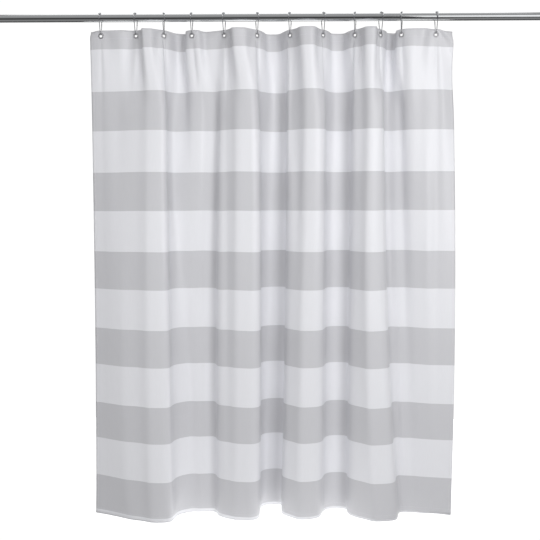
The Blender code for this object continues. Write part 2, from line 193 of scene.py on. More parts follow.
# The cloth's weave, slubs and creases. The scales are for a metre across and a metre down.
WEFT_PITCH = 0.00062
WARP_PITCH = 0.00050
SLUB_SCALE = (520, 26, 1)
CREASE_SCALE = (60, 22, 1)

GREY_PRINT = (0.592, 0.592, 0.618, 1)
WHITE_PRINT = (0.795, 0.798, 0.832, 1)
SHEEN_WEIGHT = 0.10

# ---- The picture ----------------------------------------------------------------------------

LENS = 44.5
CAMERA_DISTANCE = 2.49  # from the rod's plane
CAMERA_DROP = 0.654  # below the rod's axis
CAMERA_TILT_DEG = 6.0
CAMERA_ROLL_DEG = 0.25
FLOOR_DROP = 2.02
FLOOR_RADIUS = 1.25
FLOOR_MIDDLE_Y = 1.05
FLOOR_GLOW = 0.75
ROOM_LEVEL = 0.95
KEY_POWER = 59
CARD_POWER = 14
FILL_POWER = 45
BACK_POWER = 45
OVERHEAD_POWER = 40
BACKDROP_LEVEL = 1.05
# What the chrome reflects: a level for each angle about the rod, in degrees. 0 is level to the
# front and 90 is up.
STUDIO = (
    (-180, 0.5), (-150, 0.25), (-118, 0.06), (-100, 0.3), (-64, 0.42), (-45, 0.3), (-34, 0.04),
    (-14, 0.05), (5, 0.36), (30, 0.56), (75, 0.62), (120, 0.4), (165, 0.36), (180, 0.5),
)  # fmt: skip


def add_camera():
    camera = bpy.data.objects.new("camera", bpy.data.cameras.new("camera"))
    bpy.context.scene.collection.objects.link(camera)
    camera.data.lens = LENS
    camera.data.clip_end = 60
    camera.matrix_world = (
        Matrix.Translation((MIDDLE_X, -CAMERA_DISTANCE, -CAMERA_DROP))
        @ Matrix.Rotation(math.radians(90 - CAMERA_TILT_DEG), 4, "X")
        @ Matrix.Rotation(math.radians(-CAMERA_ROLL_DEG), 4, "Z")
    )
    bpy.context.scene.camera = camera


def add_area_light(name, place, aim, size, power):
    light = bpy.data.lights.new(name, "AREA")
    light.shape = "RECTANGLE"
    light.size, light.size_y = size
    light.energy = power
    obj = bpy.data.objects.new(name, light)
    bpy.context.scene.collection.objects.link(obj)
    away = Vector(place) - Vector(aim)
    obj.matrix_world = Matrix.Translation(place) @ away.to_track_quat("Z", "Y").to_matrix().to_4x4()
    return obj


def add_lights():
    """A tall soft key from the front right, broad fills before and behind, and one over the floor.

    The chrome doesn't see the key or the fills. It sees a dimmer card just in front of the key.
    """
    aim = (MIDDLE_X, 0, -1.0)
    tall, broad, wide = (1.4, 2.5), (2.4, 2.4), (4.0, 2.4)
    key = add_area_light("key", (MIDDLE_X + 1.8, -2.9, -0.1), aim, tall, KEY_POWER)
    card = add_area_light("card", (MIDDLE_X + 1.78, -2.86, -0.1), aim, tall, CARD_POWER)
    card.visible_diffuse = False
    fill = add_area_light("fill", (MIDDLE_X - 1.0, -3.5, -0.6), aim, broad, FILL_POWER)
    back = add_area_light("back", (MIDDLE_X - 1.6, 3.2, -0.4), aim, broad, BACK_POWER)
    key.visible_glossy = fill.visible_glossy = back.visible_glossy = False
    over_floor = (MIDDLE_X, 1.6, -2)
    add_area_light("overhead", (MIDDLE_X, 1.9, 2.6), over_floor, wide, OVERHEAD_POWER)


def set_world():
    """White behind the object. What lights it and what it reflects is the studio about it."""
    world = bpy.data.worlds.new("studio")
    bpy.context.scene.world = world
    world.use_nodes = True
    tree = world.node_tree
    tree.nodes.clear()
    kinds = ("OutputWorld", "MixShader", "LightPath", "Background", "Background", "TexCoord",
             "SeparateXYZ", "Math", "Math", "MapRange", "ValToRGB")  # fmt: skip
    out, mix, path, seen, room, direction, parts, front, angle, turn, ramp = (
        tree.nodes.new("ShaderNode" + kind) for kind in kinds
    )
    seen.inputs["Color"].default_value = (1, 1, 1, 1)
    seen.inputs["Strength"].default_value = BACKDROP_LEVEL
    room.inputs["Strength"].default_value = ROOM_LEVEL
    front.operation = "MULTIPLY"
    front.inputs[1].default_value = -1
    angle.operation = "ARCTAN2"
    turn.inputs["From Min"].default_value = -math.pi
    turn.inputs["From Max"].default_value = math.pi
    ramp.color_ramp.elements.remove(ramp.color_ramp.elements[1])
    for i, (degrees, level) in enumerate(STUDIO):
        stop = ramp.color_ramp.elements[0] if i == 0 else ramp.color_ramp.elements.new(1)
        stop.position = degrees / 360 + 0.5
        stop.color = (level, level, level, 1)
    link = tree.links.new
    link(direction.outputs["Generated"], parts.inputs[0])
    link(parts.outputs["Y"], front.inputs[0])
    link(parts.outputs["Z"], angle.inputs[0])
    link(front.outputs[0], angle.inputs[1])
    link(angle.outputs[0], turn.inputs["Value"])
    link(turn.outputs["Result"], ramp.inputs["Fac"])
    link(ramp.outputs["Color"], room.inputs["Color"])
    link(path.outputs["Is Camera Ray"], mix.inputs["Fac"])
    link(room.outputs[0], mix.inputs[1])
    link(seen.outputs[0], mix.inputs[2])
    link(mix.outputs[0], out.inputs["Surface"])


def add_floor():
    """A round pale floor, lit to white."""
    bpy.ops.mesh.primitive_cylinder_add(
        vertices=96, radius=FLOOR_RADIUS, depth=0.02,
        location=(MIDDLE_X, FLOOR_MIDDLE_Y, -FLOOR_DROP - 0.01),
    )
    floor = bpy.context.object
    floor.name = "floor"
    shader = Shader("floor", roughness=0.9, emission_strength=FLOOR_GLOW)
    shader.main.inputs["Emission Color"].default_value = (1, 1, 1, 1)
    tone = shader.noise(shader.point(), 3.0)
    pale = shader.mixed(tone, (0.90, 0.90, 0.90, 1), (0.93, 0.93, 0.93, 1))
    shader.feed(shader.main.inputs["Base Color"], pale)
    floor.data.materials.append(shader.material)


# ---- Materials ------------------------------------------------------------------------------


class Shader:
    """A Principled material being built, with short calls for its nodes."""

    def __init__(self, name, **values):
        self.material = bpy.data.materials.new(name)
        self.material.use_nodes = True
        self.tree = self.material.node_tree
        self.main = self.tree.nodes["Principled BSDF"]
        for key, value in values.items():
            self.main.inputs[key.replace("_", " ").title()].default_value = value

    def node(self, kind, *inputs, **settings):
        """A node, its settings, and its inputs in order; None leaves an input as it is."""
        made = self.tree.nodes.new("ShaderNode" + kind)
        for key, value in settings.items():
            setattr(made, key, value)
        for socket, value in zip(made.inputs, inputs):
            self.feed(socket, value)
        return made

    def feed(self, socket, value):
        if value is None:
            return
        if isinstance(value, bpy.types.Node):
            value = value.outputs[0]
        if isinstance(value, bpy.types.NodeSocket):
            self.tree.links.new(value, socket)
        else:
            socket.default_value = value

    def math(self, operation, *inputs):
        return self.node("Math", *inputs, operation=operation)

    def point(self):
        return self.node("TexCoord").outputs["Object"]

    def mixed(self, factor, low, high):
        mix = self.node("Mix", data_type="RGBA")
        for name, value in (("Factor", factor), ("A", low), ("B", high)):
            kind = "VALUE" if name == "Factor" else "RGBA"
            socket = next(s for s in mix.inputs if s.name == name and s.type == kind)
            self.feed(socket, value)
        return next(s for s in mix.outputs if s.type == "RGBA")

    def scaled(self, vector, scales):
        return self.node("VectorMath", vector, scales, operation="MULTIPLY")

    def ranged(self, value, low, high):
        """value, from 0 to 1, spread between low and high."""
        made = self.node("MapRange")
        self.feed(made.inputs["Value"], value)
        made.inputs["To Min"].default_value = low
        made.inputs["To Max"].default_value = high
        return made

    def noise(self, vector, scale, detail=3.0):
        made = self.node("TexNoise")
        self.feed(made.inputs["Vector"], vector)
        made.inputs["Scale"].default_value = scale
        made.inputs["Detail"].default_value = detail
        return made.outputs["Fac"]

    def bump(self, height, strength, distance, normal=None):
        made = self.node("Bump")
        made.inputs["Strength"].default_value = strength
        made.inputs["Distance"].default_value = distance
        self.feed(made.inputs["Height"], height)
        self.feed(made.inputs["Normal"], normal)
        return made


def striped(shader, across, drop):
    """The print: grey, and a white stripe at the start of each repeat, slightly askew."""
    share = shader.math("SUBTRACT", shader.math("DIVIDE", across, CLOTH_WIDTH), 0.5)
    tilt_change = (STRIPE_LIFT_TOP + STRIPE_DROP_BOTTOM) / CLOTH_HEIGHT
    tilt = shader.math("MULTIPLY_ADD", drop, tilt_change, -STRIPE_LIFT_TOP)
    shift = shader.math("MULTIPLY", share, tilt)
    start = shader.math("SUBTRACT", shader.math("SUBTRACT", drop, shift), STRIPE_START)
    phase = shader.math("FRACT", shader.math("DIVIDE", start, STRIPE_REPEAT))
    middle = WHITE_STRIPE / STRIPE_REPEAT / 2
    from_middle = shader.math("ABSOLUTE", shader.math("SUBTRACT", phase, middle))
    edge = shader.math("DIVIDE", shader.math("SUBTRACT", middle, from_middle), PRINT_EDGE)
    white = shader.node("Clamp", shader.math("ADD", edge, 0.5))
    return shader.mixed(white, GREY_PRINT, WHITE_PRINT)


def fabric(name):
    """Plain-woven polyester: print, weave, slubs and soft creases, laid out on the flat cloth."""
    shader = Shader(name, sheen_weight=SHEEN_WEIGHT, sheen_roughness=0.4)
    shader.main.inputs["Specular IOR Level"].default_value = 0.9
    flat = shader.node("Attribute", attribute_name="flat").outputs["Vector"]
    across, drop, _ = shader.node("SeparateXYZ", flat).outputs
    slubs = shader.noise(shader.scaled(flat, SLUB_SCALE), 1.0, 2.0)
    toned = shader.node("VectorMath", striped(shader, across, drop), operation="SCALE")
    shader.feed(toned.inputs["Scale"], shader.ranged(slubs, 0.965, 1.02))
    shader.feed(shader.main.inputs["Base Color"], toned)
    weft = shader.math("SINE", shader.math("MULTIPLY", drop, math.tau / WEFT_PITCH))
    warp = shader.math("SINE", shader.math("MULTIPLY", across, math.tau / WARP_PITCH))
    woven = shader.bump(shader.math("MULTIPLY", weft, warp), 0.15, 0.00008)
    creases = shader.noise(shader.scaled(flat, CREASE_SCALE), 1.0, 3.0)
    shader.feed(shader.main.inputs["Normal"], shader.bump(creases, 0.25, 0.0012, woven))
    shader.feed(shader.main.inputs["Roughness"], shader.ranged(slubs, 0.38, 0.48))
    return shader.material


def thread(name):
    shader = Shader(name, roughness=0.6, sheen_weight=0.2)
    lay = shader.noise(shader.point(), 900, 1.0)
    shader.feed(shader.main.inputs["Base Color"],
                shader.mixed(lay, (0.70, 0.70, 0.73, 1), (0.84, 0.84, 0.87, 1)))  # fmt: skip
    shader.feed(shader.main.inputs["Normal"], shader.bump(lay, 0.3, 0.0002))
    return shader.material


def metal(name, color, smooth, rough, streaks, scratch=0.05):
    """Plated metal with fine streaks, and a patchy film between two roughnesses."""
    shader = Shader(name, metallic=1.0)
    point = shader.point()
    film = shader.noise(point, 35, 4.0)
    drawn = shader.noise(shader.scaled(point, streaks), 1.0, 2.0)
    dark = tuple(0.94 * c for c in color)
    shader.feed(shader.main.inputs["Base Color"], shader.mixed(film, (*dark, 1), (*color, 1)))
    shader.feed(shader.main.inputs["Roughness"], shader.ranged(film, smooth, rough))
    shader.feed(shader.main.inputs["Normal"], shader.bump(drawn, scratch, 0.0003))
    return shader.material


# ---- Mesh helpers ---------------------------------------------------------------------------


def moved_to(point):
    return Matrix.Translation(point)


def shown(name, mesh, material, smooth_angle=None, matrix=None):
    """An object with that mesh and material, shaded smooth up to an angle."""
    obj = bpy.data.objects.new(name, mesh)
    bpy.context.scene.collection.objects.link(obj)
    if material and not mesh.materials:
        mesh.materials.append(material)
    mesh.shade_smooth()
    if smooth_angle:
        mesh.set_sharp_from_angle(angle=math.radians(smooth_angle))
    obj.matrix_world = matrix or Matrix()
    return obj


def apply_modifiers(obj):
    bpy.context.view_layer.update()
    graph = bpy.context.evaluated_depsgraph_get()
    mesh = bpy.data.meshes.new_from_object(obj.evaluated_get(graph))
    obj.modifiers.clear()
    obj.data = mesh
    return obj


def turned(name, profile, sides, closed=False):
    """A mesh turned about Z from (radius, height) points; a closed profile ends where it starts."""
    mesh = bpy.data.meshes.new(name)
    edges = [(i, i + 1) for i in range(len(profile) - 1)]
    if closed:
        edges.append((len(profile) - 1, 0))
    mesh.from_pydata([(r, 0, z) for r, z in profile], edges, [])
    obj = bpy.data.objects.new(name, mesh)
    bpy.context.scene.collection.objects.link(obj)
    screw = obj.modifiers.new("turn", "SCREW")
    screw.steps = screw.render_steps = sides
    screw.use_merge_vertices = True
    screw.merge_threshold = 1e-6
    apply_modifiers(obj)
    mesh = obj.data
    bpy.data.objects.remove(obj)
    return mesh


def arc(center, radius, start, end, steps):
    """Points of an arc in a profile, angles in degrees from the +radius direction."""
    angles = np.radians(np.linspace(start, end, steps))
    return [(center[0] + radius * math.cos(a), center[1] + radius * math.sin(a)) for a in angles]


def tube(name, points, radius):
    """A round wire along points, with its ends closed."""
    curve = bpy.data.curves.new(name, "CURVE")
    curve.dimensions = "3D"
    curve.bevel_depth = radius
    curve.bevel_resolution = 4
    curve.use_fill_caps = True
    spline = curve.splines.new("POLY")
    spline.points.add(len(points) - 1)
    for made, point in zip(spline.points, points):
        made.co = (*point, 1)
    obj = bpy.data.objects.new(name, curve)
    bpy.context.scene.collection.objects.link(obj)
    bpy.context.view_layer.update()
    mesh = bpy.data.meshes.new_from_object(
        obj.evaluated_get(bpy.context.evaluated_depsgraph_get())
    )
    bpy.data.objects.remove(obj)
    return mesh


def joined(name, parts):
    """One mesh of several (mesh, matrix) parts."""
    whole = bmesh.new()
    for mesh, matrix in parts:
        copy = mesh.copy()
        copy.transform(matrix)
        whole.from_mesh(copy)
        bpy.data.meshes.remove(copy)
    made = bpy.data.meshes.new(name)
    whole.to_mesh(made)
    whole.free()
    return made


# ---- The folds ------------------------------------------------------------------------------


def eyelet_places():
    """(ring number, centre on the cloth's middle plane, turn about Z) of each eyelet."""
    for number in RINGS:
        points = np.array([v.co for v in frame["nodes"][f"eyelet_{number:02d}"].data.vertices])
        low, high = points.min(0), points.max(0)
        center = (low + high) / 2
        axis = np.linalg.svd(points - points.mean(0), full_matrices=False)[2][-1]
        axis = -axis if axis[1] > 0 else axis
        back = center[1] / axis[1]  # the cloth's middle plane passes through the rod's plane
        on_cloth = Vector((center[0] - back * axis[0], 0, center[2]))
        yield number, on_cloth, math.atan2(axis[0], -axis[1])


EYELETS = list(eyelet_places())
EYELET_DROP = CLOTH_TOP - EYELETS[0][1].z


def fold_depth(fill):
    """A factor for the given depths: below 1 for a fill under 0, above 1 past the rounding."""
    return 1 + min(0.0, fill) + max(0.0, fill - FOLD_ROUNDING)


def header_knots(fill):
    """(x, y, turn) along the header: flat at each eyelet, a bulge between two rings."""
    depth = fold_depth(fill)
    knots = []
    for i, (_, center, turn) in enumerate(EYELETS):
        half_x, half_y = EYELET_FLAT * math.cos(turn), EYELET_FLAT * math.sin(turn)
        knots.append((center.x - half_x, -half_y, turn))
        knots.append((center.x + half_x, half_y, turn))
        if i < len(HEADER_BULGES):
            middle = (center.x + EYELETS[i + 1][1].x) / 2
            knots.append((middle, -depth * HEADER_BULGES[i], 0.0))
    ends = []
    for edge, (_, center, turn) in zip(HEADER_EDGES, (EYELETS[0], EYELETS[-1])):
        x = MIDDLE_X + edge
        ends.append((x, math.tan(turn) * (x - center.x), turn))
    return [ends[0], *knots, ends[1]]


def folds_at(drop):
    """The fold crests (x, depth) at a height, on a smooth curve through the three that are set."""
    heights = [level for level, _ in FOLDS]
    crests = np.zeros((len(FOLDS[0][1]), 2))
    for i, (level, given) in enumerate(FOLDS):
        weight = 1.0
        for j, other in enumerate(heights):
            if i != j:
                weight *= (drop - other) / (level - other)
        crests += weight * np.array(given)
    return crests


def fold_knots(drop, fill):
    """(x, y, turn) at a height: level at each crest, and on its way between two at the rest."""
    crests = folds_at(drop)
    x, y = MIDDLE_X + crests[:, 0], -fold_depth(fill) * crests[:, 1]
    slopes = np.diff(y) / np.diff(x)
    before, after = slopes[:-1], slopes[1:]
    level = before * after <= 0
    both = np.where(level, 1.0, before + after)
    turns = np.where(level, 0.0, 2 * before * after / both)
    turns = np.concatenate([[slopes[0]], turns, [slopes[-1]]])
    return np.stack([x, y, np.arctan(turns)], axis=1)


def fold_line(knots, fill):
    """Points of the curve through the knots, and the distance along it; more fill rounds it."""
    handle = WAVE_HANDLE + min(max(0.0, fill), FOLD_ROUNDING)
    knots = np.asarray(knots)
    start, end = knots[:-1, :2], knots[1:, :2]
    reach = handle * np.hypot(*(end - start).T)[:, None]
    directions = np.stack([np.cos(knots[:, 2]), np.sin(knots[:, 2])], axis=1)
    out, back = start + reach * directions[:-1], end - reach * directions[1:]
    t = (np.arange(1, FOLD_STEPS + 1) / FOLD_STEPS)[None, :, None]
    u = 1 - t
    runs = (u**3 * start[:, None] + 3 * u * u * t * out[:, None]
            + 3 * u * t * t * back[:, None] + t**3 * end[:, None])  # fmt: skip
    points = np.concatenate([start[:1], runs.reshape(-1, 2)])
    along = np.concatenate([[0], np.cumsum(np.hypot(*np.diff(points, axis=0).T))])
    return points, along


def filled_line(knots_of):
    """The fold line that takes up the cloth's width: its fill is found by halving a range."""
    low, high = -1.0, 3.0
    for _ in range(32):
        fill = (low + high) / 2
        if fold_line(knots_of(fill), fill)[1][-1] < CLOTH_WIDTH:
            low = fill
        else:
            high = fill
    return fold_line(knots_of(fill), fill)


HEADER_LINE = filled_line(header_knots)


def header_across(x_of_eyelet):
    """The distance across the flat cloth of a place on the header."""
    points, along = HEADER_LINE
    closest = np.argmin(np.hypot(points[:, 0] - x_of_eyelet, points[:, 1]))
    part = slice(max(0, closest - 1), closest + 2)
    return float(np.interp(x_of_eyelet, points[part, 0], along[part]))


EYELET_ACROSS = [header_across(center.x) for _, center, _ in EYELETS]


def spaced(keys, step):
    """The keys, and even steps of about that size between them."""
    values = []
    for start, end in zip(keys, keys[1:]):
        count = max(1, round((end - start) / step))
        values.extend(start + (end - start) * i / count for i in range(count))
    return np.array([*values, keys[-1]])


def cloth_columns():
    eyelets = [across + step for across in EYELET_ACROSS for step in NEAR_EYELET]
    return spaced([0, SIDE_HEM_WIDTH, *eyelets, CLOTH_WIDTH - SIDE_HEM_WIDTH, CLOTH_WIDTH], CELL)


def cloth_rows():
    eyelet = [EYELET_DROP + step for step in NEAR_EYELET[:-1]]
    return spaced([0, *eyelet, HEADER_HEIGHT, UNDER_HEADER, HEM_TOP, CLOTH_HEIGHT], CELL)


ACROSS, DROPS = cloth_columns(), cloth_rows()


def smoothstep(value):
    value = np.clip(value, 0, 1)
    return value * value * (3 - 2 * value)


def laid_out_cloth():
    """The cloth's middle surface before it is hung: rows by columns of points."""
    points, along = HEADER_LINE
    header = np.stack([np.interp(ACROSS, along, points[:, k]) for k in (0, 1)], axis=1)
    rows = []
    for drop in DROPS:
        points, along = filled_line(lambda fill, drop=drop: fold_knots(drop, fill))
        folds = np.stack([np.interp(ACROSS, along, points[:, k]) for k in (0, 1)], axis=1)
        share = smoothstep((drop - HEADER_HEIGHT) / HEADER_FADE)
        row = header + share * (folds - header)
        rows.append(np.column_stack([row, np.full(len(row), CLOTH_TOP - drop)]))
    return np.array(rows)


def grid_faces(rows, columns, keep=None):
    """The quads of a grid, facing -Y for a grid whose rows run down and columns to +X."""
    r, c = np.mgrid[0 : rows - 1, 0 : columns - 1]
    if keep is not None:
        r, c = r[keep], c[keep]
    first = (r * columns + c).ravel()
    return np.stack([first, first + columns, first + columns + 1, first + 1], axis=1)


def grid_mesh(name, surface, across, drops, keep=None):
    """A mesh of a rows-by-columns surface that carries its flat layout as an attribute."""
    rows, columns = surface.shape[:2]
    faces = grid_faces(rows, columns, keep)
    used, faces = np.unique(faces, return_inverse=True)
    faces = faces.reshape(-1, 4)
    flat = np.zeros((rows, columns, 3), np.float32)
    flat[..., 0], flat[..., 1] = across[None, :], drops[:, None]
    mesh = bpy.data.meshes.new(name)
    mesh.from_pydata(surface.reshape(-1, 3)[used].tolist(), [], faces.tolist())
    layer = mesh.attributes.new("flat", "FLOAT_VECTOR", "POINT")
    layer.data.foreach_set("vector", flat.reshape(-1, 3)[used].ravel())
    return mesh


# ---- Hanging the cloth ----------------------------------------------------------------------

SIM_FRAMES = 24
MOST_MOVE = 0.010  # how far the simulation may take a point from its fold
WEAK_HOLD = 0.06  # of every point of the cloth to its fold; an eyelet's is 1


def near_eyelets():
    """How firmly each point of the grid is held by an eyelet: 1 at it, 0 beyond its reach."""
    held = np.zeros((len(DROPS), len(ACROSS)))
    for across in EYELET_ACROSS:
        distance = np.hypot(ACROSS[None, :] - across, DROPS[:, None] - EYELET_DROP)
        reach = (EYELET_SOFT - distance) / (EYELET_SOFT - EYELET_FLAT)
        held = np.maximum(held, smoothstep(reach))
    return held


def hung(start):
    """The surface after the cloth simulation, whose rest shape is the flat sheet."""
    obj = shown("hanging", grid_mesh("hanging", start, ACROSS, DROPS), None)
    flat = np.zeros_like(start)
    flat[..., 0], flat[..., 2] = ACROSS[None, :], -DROPS[:, None]
    obj.shape_key_add(name="folded")
    rest = obj.shape_key_add(name="flat")
    rest.data.foreach_set("co", flat.astype(np.float32).ravel())
    rest.value = 0
    group = obj.vertex_groups.new(name="held")
    held = near_eyelets().ravel()
    for index, weight in enumerate(np.maximum(held, WEAK_HOLD)):
        group.add([index], float(weight), "REPLACE")
    cloth = obj.modifiers.new("cloth", "CLOTH")
    settings = cloth.settings
    settings.quality = 7
    settings.mass = 0.12
    settings.tension_stiffness = settings.compression_stiffness = 25
    settings.shear_stiffness = 10
    settings.bending_stiffness = 2.5
    settings.air_damping = 2.0
    settings.rest_shape_key = rest
    settings.vertex_group_mass = "held"
    settings.pin_stiffness = 1.0
    cloth.point_cache.frame_start, cloth.point_cache.frame_end = 1, SIM_FRAMES
    for step in range(1, SIM_FRAMES + 1):
        bpy.context.scene.frame_set(step)
    graph = bpy.context.evaluated_depsgraph_get()
    result = obj.evaluated_get(graph).to_mesh()
    points = np.empty(len(result.vertices) * 3, np.float32)
    result.vertices.foreach_get("co", points)
    bpy.context.scene.frame_set(1)
    bpy.data.objects.remove(obj)
    move = points.reshape(start.shape) - start
    length = np.linalg.norm(move, axis=2, keepdims=True)
    move *= MOST_MOVE * np.tanh(length / MOST_MOVE) / np.maximum(length, 1e-9)
    loose = 1 - near_eyelets()[..., None]
    return start + loose * move


def halved(values, data, axis):
    """Values and data with one added between each two, on cubics through the nearest four."""
    data = np.moveaxis(data, axis, 0)
    middles = (values[:-1] + values[1:]) / 2
    made = np.empty((2 * len(values) - 1, *data.shape[1:]))
    made[::2] = data
    for i, middle in enumerate(middles):
        first = min(max(i - 1, 0), len(values) - 4)
        near = values[first : first + 4]
        blend = 0
        for j in range(4):
            others = np.delete(near, j)
            blend = blend + data[first + j] * np.prod((middle - others) / (near[j] - others))
        made[2 * i + 1] = blend
    both = np.empty(2 * len(values) - 1)
    both[::2], both[1::2] = values, middles
    return both, np.moveaxis(made, 0, axis)


def normals_of(surface):
    down = np.gradient(surface, axis=0)
    right = np.gradient(surface, axis=1)
    normal = np.cross(down, right)
    return normal / np.linalg.norm(normal, axis=2, keepdims=True)


# ---- Hems, stitches and eyelets -------------------------------------------------------------


def hang_on_cloth(obj):
    """A piece of the cloth: it tips with the curtain and gathers with it."""
    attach(obj, "curtain")
    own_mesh(obj)


def nearest(values, wanted):
    return int(np.argmin(np.abs(values - wanted)))


class Cloth:
    """The hung surface on its fine grid, with its normals to the front."""

    def __init__(self, surface):
        self.across, self.surface = halved(ACROSS, surface, 1)
        self.drops = DROPS
        self.normals = normals_of(self.surface)
        middle_across = (self.across[:-1] + self.across[1:]) / 2
        middle_drops = (self.drops[:-1] + self.drops[1:]) / 2
        self.keep = np.ones((len(middle_drops), len(middle_across)), bool)
        for eyelet in EYELET_ACROSS:
            distance = np.hypot(middle_across[None, :] - eyelet, middle_drops[:, None] - EYELET_DROP)
            self.keep &= distance > HOLE_RADIUS

    def layer(self, name, material, thickness, offset=0.0, span=(0, CLOTH_WIDTH),
              drops=(0, CLOTH_HEIGHT)):  # fmt: skip
        """A closed layer of cloth over part of the flat sheet, moved to the front by offset."""
        c0, c1 = (nearest(self.across, edge) for edge in span)
        r0, r1 = (nearest(self.drops, edge) for edge in drops)
        part = np.s_[r0 : r1 + 1, c0 : c1 + 1]
        surface = self.surface[part] + offset * self.normals[part]
        mesh = grid_mesh(name, surface, self.across[c0 : c1 + 1], self.drops[r0 : r1 + 1],
                         self.keep[r0:r1, c0:c1])  # fmt: skip
        obj = shown(name, mesh, material)
        shell = obj.modifiers.new("thickness", "SOLIDIFY")
        shell.thickness = thickness
        shell.offset = 0
        return apply_modifiers(obj)

    def at(self, across, drop):
        """(place, normal) on the surface for arrays of flat positions."""
        c = np.interp(across, self.across, np.arange(len(self.across)))
        r = np.interp(drop, self.drops, np.arange(len(self.drops)))
        c0 = np.minimum(c.astype(int), len(self.across) - 2)
        r0 = np.minimum(r.astype(int), len(self.drops) - 2)
        fc, fr = (c - c0)[:, None], (r - r0)[:, None]
        found = []
        for grid in (self.surface, self.normals):
            upper = grid[r0, c0] * (1 - fc) + grid[r0, c0 + 1] * fc
            lower = grid[r0 + 1, c0] * (1 - fc) + grid[r0 + 1, c0 + 1] * fc
            found.append(upper * (1 - fr) + lower * fr)
        return found


def stitch_shape():
    """One stitch, a slim spindle along X: its points and faces."""
    sides = 6
    rings = ((-0.38, 0.8), (0.0, 1.0), (0.38, 0.8))
    points = [(-0.5, 0, 0)]
    for along, size in rings:
        for k in range(sides):
            angle = math.tau * k / sides
            points.append((along, size * math.cos(angle), size * math.sin(angle)))
    points.append((0.5, 0, 0))
    faces = []
    for k in range(sides):
        n = (k + 1) % sides
        faces.append((0, 1 + n, 1 + k))
        faces.append((len(points) - 1, 1 + 2 * sides + k, 1 + 2 * sides + n))
        for ring in range(len(rings) - 1):
            low = 1 + ring * sides
            faces.append((low + k, low + n, low + sides + n, low + sides + k))
    return np.array(points), faces


def stitching(name, cloth, start, end, back_offset, material):
    """A line of stitches from one flat position to another, on both faces of the cloth."""
    start, end = np.array(start), np.array(end)
    length = np.linalg.norm(end - start)
    count = int(length / STITCH_PITCH)
    share = (np.arange(count) + 0.5) / count
    flat = start + share[:, None] * (end - start)
    for eyelet in EYELET_ACROSS:
        clear = np.hypot(flat[:, 0] - eyelet, flat[:, 1] - EYELET_DROP) > EYELET_RIM + STITCH_LENGTH
        flat = flat[clear]
    step = (end - start) / length * STITCH_LENGTH / 2
    before, _ = cloth.at(*(flat - step).T)
    after, _ = cloth.at(*(flat + step).T)
    place, normal = cloth.at(*flat.T)
    along = after - before
    along /= np.linalg.norm(along, axis=1, keepdims=True)
    side = np.cross(normal, along)
    shape, faces = stitch_shape()
    points, quads, first = [], [], 0
    for offset in (CLOTH_THICKNESS / 2 + STITCH_LIFT, -back_offset - STITCH_LIFT):
        for center, x, y, z in zip(place + offset * normal, along, side, normal):
            spread = (shape[:, :1] * STITCH_LENGTH * x + shape[:, 1:2] * STITCH_RADIUS * y
                      + shape[:, 2:] * STITCH_RADIUS * z)  # fmt: skip
            points.append(center + spread)
            quads.extend(tuple(first + i for i in face) for face in faces)
            first += len(shape)
    mesh = bpy.data.meshes.new(name)
    mesh.from_pydata(np.concatenate(points).tolist(), [], quads)
    return shown(name, mesh, material)


def eyelet_mesh():
    """The eyelet: a domed flange in front of the cloth, and a barrel rolled over at the back."""
    bore = EYELET_BORE / 2
    barrel = bore + EYELET_WALL
    front = CLOTH_THICKNESS / 2 + SLACK / 2
    back = -(CLOTH_THICKNESS / 2 + FOLD_THICKNESS + WASHER_THICKNESS + SLACK)
    dome = (EYELET_RIM - barrel) / 2
    middle = (EYELET_RIM + barrel) / 2
    crown = [
        (middle + dome * math.cos(a), front + EYELET_DOME * math.sin(a))
        for a in np.linspace(math.pi, 0, 14)
    ]
    roll = arc((barrel + EYELET_WALL, back), EYELET_ROLL, 0, -180, 8)
    profile = [*crown, (barrel, front), (barrel, back), *roll[1:-1], (bore, back), (bore, front)]
    return turned("eyelet", profile, 48, closed=True)


def washer_mesh():
    front = -(CLOTH_THICKNESS / 2 + FOLD_THICKNESS + SLACK / 2)
    back = front - WASHER_THICKNESS
    inner = EYELET_BORE / 2 + EYELET_WALL + SLACK / 3
    rim = EYELET_RIM - WASHER_INSET
    edge = arc((rim - WASHER_EASE, back + WASHER_EASE), WASHER_EASE, 0, -90, 4)
    profile = [(rim, front), *edge, (inner, back), (inner, front)]
    return turned("washer", profile, 48, closed=True)


def add_eyelets(material):
    eyelet, washer = eyelet_mesh(), washer_mesh()
    for number, center, turn in EYELETS:
        matrix = (
            Matrix.Translation(center)
            @ Matrix.Rotation(turn, 4, "Z")
            @ Matrix.Rotation(math.pi / 2, 4, "X")
        )
        for kind, mesh in (("eyelet", eyelet), ("washer", washer)):
            obj = shown(f"{kind}_{number:02d}_pressed", mesh, material, 35, matrix)
            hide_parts(f"{kind}_{number:02d}")
            hang_on_cloth(obj)


